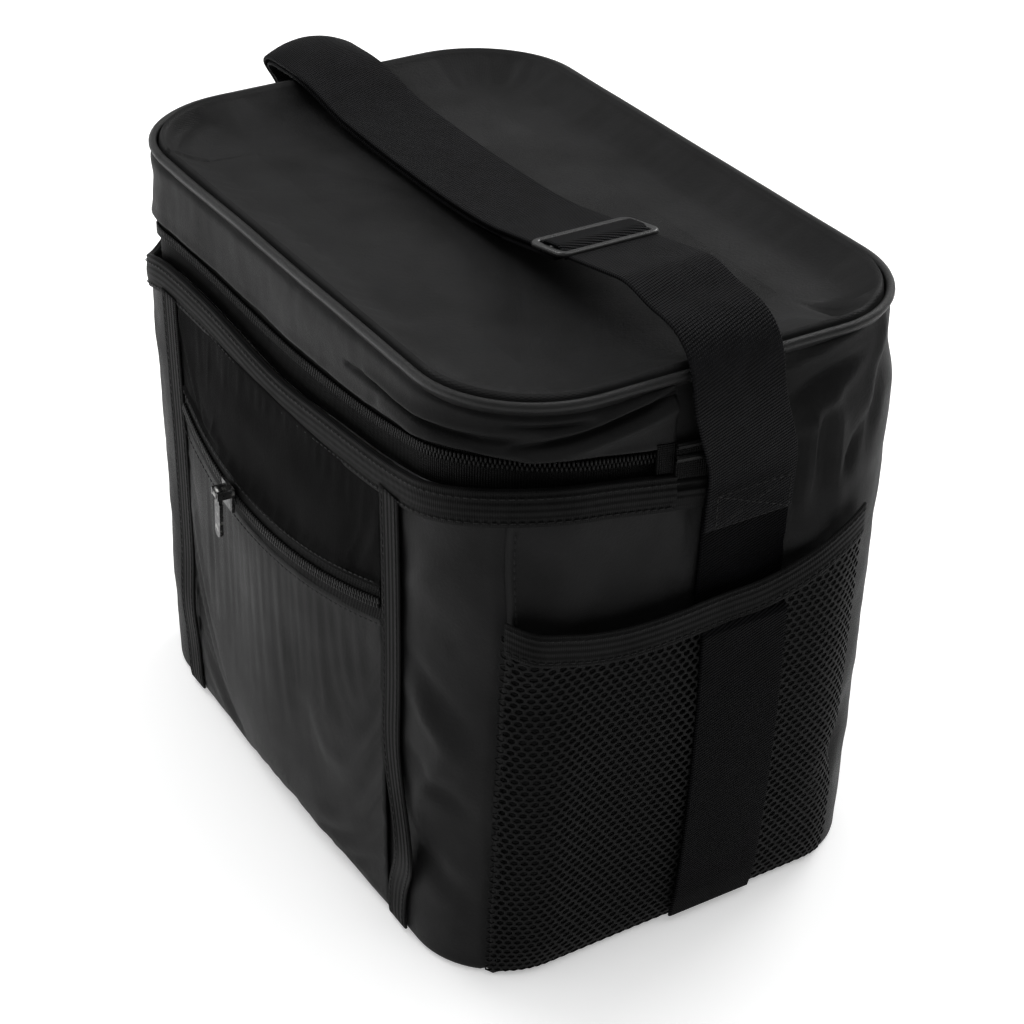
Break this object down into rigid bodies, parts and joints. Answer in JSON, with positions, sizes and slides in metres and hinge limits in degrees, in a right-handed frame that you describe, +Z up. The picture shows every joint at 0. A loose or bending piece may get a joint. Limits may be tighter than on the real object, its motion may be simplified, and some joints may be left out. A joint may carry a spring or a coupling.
{
  "type": "insulated cooler bag",
  "caption": "Soft insulated cooler bag with a zipped lid flap, a zipped front pocket, mesh side pockets and an adjustable carrying strap.",
  "frame": {"origin": "middle of the base panel's underside, where the bag rests", "axes": "+Z up through the lid, -Y out of the front with the zipped pocket, +X towards the side with the single strap layer"},
  "size_m": [0.3046, 0.1953, 0.2451],
  "materials": {
    "outer_fabric": "plain-weave coated polyester, matt with a soft sheen",
    "lid_fabric": "plain-weave coated polyester, matt with a soft sheen",
    "foam": "closed-cell foam",
    "foil_liner": "satin foil film",
    "base_board": "matt board",
    "nylon_coil": "satin",
    "mesh": "knitted mesh",
    "dark_metal": "black enamel over metal, worn bright at the edges",
    "black_plastic": "satin moulded plastic",
    "webbing": "woven webbing",
    "woven_tape": "ribbed woven tape"
  },
  "bodies": {
    "bag": {"base_panel": "outer_fabric", "base_board": "base_board", "foam_base": "foam", "liner_base": "foil_liner", "front_panel": "outer_fabric", "back_panel": "outer_fabric", "side_panel_left": "outer_fabric", "side_panel_right": "outer_fabric", "foam_front": "foam", "foam_back": "foam", "foam_left": "foam", "foam_right": "foam", "liner_front": "foil_liner", "liner_back": "foil_liner", "liner_left": "foil_liner", "liner_right": "foil_liner", "rear_yoke": "outer_fabric", "lid_rear_panel": "lid_fabric", "lid_rear_foam": "foam", "lid_rear_liner": "foil_liner", "lid_rear_piping": "lid_fabric", "top_binding": "woven_tape", "zip_tape_lower": "woven_tape", "zip_coil_lower": "nylon_coil", "zip_end_tabs": "woven_tape", "tape_strip_left": "woven_tape", "tape_strip_right": "woven_tape", "pocket_upper_panel": "outer_fabric", "pocket_lower_panel": "outer_fabric", "pocket_tape_upper": "woven_tape", "pocket_tape_lower": "woven_tape", "pocket_coil_upper": "nylon_coil", "pocket_coil_lower": "nylon_coil", "mesh_pocket_left": "mesh", "mesh_pocket_right": "mesh", "mesh_binding_left": "woven_tape", "mesh_binding_right": "woven_tape", "side_webbing_left": "webbing", "side_webbing_right": "webbing", "ring_loop": "webbing", "strap_ring": "black_plastic", "strap_turn": "webbing"},
    "lid_flap": {"lid_front_panel": "lid_fabric", "lid_front_foam": "foam", "lid_front_liner": "foil_liner", "lid_front_piping": "lid_fabric", "lid_skirt": "outer_fabric", "zip_tape_upper": "woven_tape", "zip_coil_upper": "nylon_coil"},
    "zip_slider": {"zip_slider": "dark_metal"},
    "zip_pull": {"zip_pull": "dark_metal"},
    "pocket_slider": {"pocket_slider": "dark_metal"},
    "pocket_pull": {"pocket_pull": "dark_metal"},
    "strap": {"strap_webbing": "webbing", "strap_return": "webbing"},
    "adjuster": {"strap_adjuster": "black_plastic"}
  },
  "joints": [
    {"name": "lid_fold", "type": "hinge", "parent": "bag", "child": "lid_flap", "pos_m": [0, -0.0195, 0.228], "axis": [-1, 0, 0], "range_deg": [0, 90]},
    {"name": "lid_zip_slide", "type": "slide", "parent": "bag", "child": "zip_slider", "axis": [0, -1, 0], "range_m": [0, 0.014]},
    {"name": "lid_pull_swing", "type": "hinge", "parent": "zip_slider", "child": "zip_pull", "pos_m": [-0.13905, -0.0255, 0.199], "axis": [0, 1, 0], "range_deg": [0, 150]},
    {"name": "pocket_zip_slide", "type": "hinge", "parent": "bag", "child": "pocket_slider", "pos_m": [0, 0.06276, 0.33308], "axis": [0, -0.7894, 0.6139], "range_deg": [-6.4, 16]},
    {"name": "pocket_pull_swing", "type": "hinge", "parent": "pocket_slider", "child": "pocket_pull", "pos_m": [-0.02216, -0.10333, 0.12873], "axis": [-0.9965, 0.0515, 0.0662], "range_deg": [-12, 150]},
    {"name": "strap_swing", "type": "hinge", "parent": "bag", "child": "strap", "pos_m": [0, 0.015, 0.2035], "axis": [-1, 0, 0], "range_deg": [0, 8]},
    {"name": "adjuster_slide", "type": "slide", "parent": "strap", "child": "adjuster", "axis": [0.9832, 0, 0.1826], "range_m": [-0.01, 0.024]}
  ]
}
